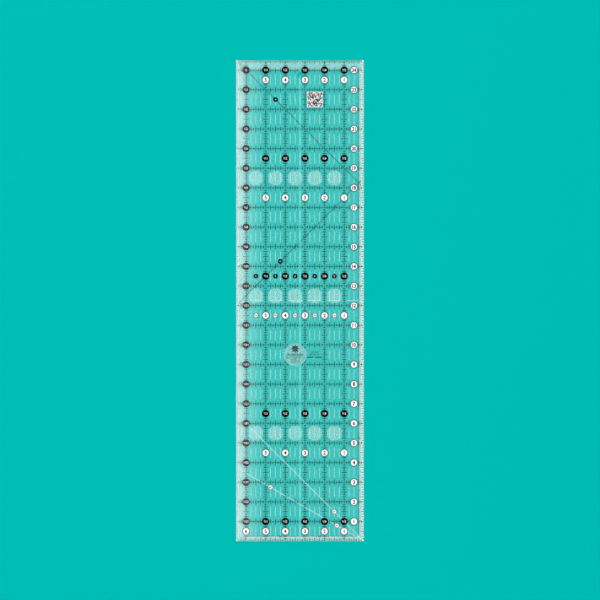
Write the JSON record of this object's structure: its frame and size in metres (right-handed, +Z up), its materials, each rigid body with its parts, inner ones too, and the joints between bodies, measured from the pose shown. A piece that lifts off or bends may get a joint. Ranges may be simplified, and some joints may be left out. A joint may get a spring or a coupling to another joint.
{
  "type": "quilting ruler",
  "caption": "Long flat rectangular ruler of clear acrylic with a hanging hole, a printed inch grid, angle lines and round number spots, and gritty film under it.",
  "frame": {"origin": "middle of the ruler's footprint, on the surface that it lies on", "axes": "+Z up through the sheet from its printed back to its plain face, +Y along the ruler towards the end with the hanging hole, +X across it towards the edge that the white numbers count from"},
  "size_m": [0.165, 0.6224, 0.0032],
  "materials": {
    "clear_acrylic": "clear cast acrylic, polished faces, bright cut edges",
    "black_ink": "screen printed on the back, seen through the sheet",
    "white_ink": "opaque white screen print on the back",
    "thin_white_ink": "single thin white pass that lets some of the cloth's colour through",
    "bright_edge_ink": "thin white pass behind the edge graduations",
    "grip_film": "frosted, speckled, slightly gritty"
  },
  "bodies": {
    "root": {"acrylic_sheet": "clear_acrylic", "lengthwise_rules": "black_ink", "crosswise_rules": "black_ink", "angle_rule_45_hole_end": "black_ink", "angle_rule_45_middle": "black_ink", "black_discs_side": "black_ink", "black_discs_small": "black_ink", "black_discs_angle": "black_ink", "black_discs_row_1": "black_ink", "black_discs_row_2": "black_ink", "black_discs_row_3": "black_ink", "black_discs_row_4": "black_ink", "black_discs_row_5": "black_ink", "white_discs_side": "white_ink", "white_discs_small": "white_ink", "white_discs_angle": "white_ink", "centre_diamond": "white_ink", "code_patch": "white_ink", "white_discs_row_1": "white_ink", "white_discs_row_2": "white_ink", "white_discs_row_3": "white_ink", "white_discs_row_4": "white_ink", "white_discs_row_5": "white_ink", "quarter_inch_dashes": "thin_white_ink", "centre_line_lengthwise": "thin_white_ink", "centre_line_crosswise": "thin_white_ink", "angle_rule_45_corner": "thin_white_ink", "angle_rule_30_corner": "thin_white_ink", "info_disc": "thin_white_ink", "edge_strip_left": "bright_edge_ink", "edge_strip_right": "bright_edge_ink", "grip_strip_left": "grip_film", "grip_strip_right": "grip_film", "grip_strip_hole_end": "grip_film", "grip_strip_plain_end": "grip_film", "grip_spots_lower": "grip_film", "grip_spots_middle": "grip_film", "grip_spots_upper": "grip_film"}
  },
  "joints": []
}
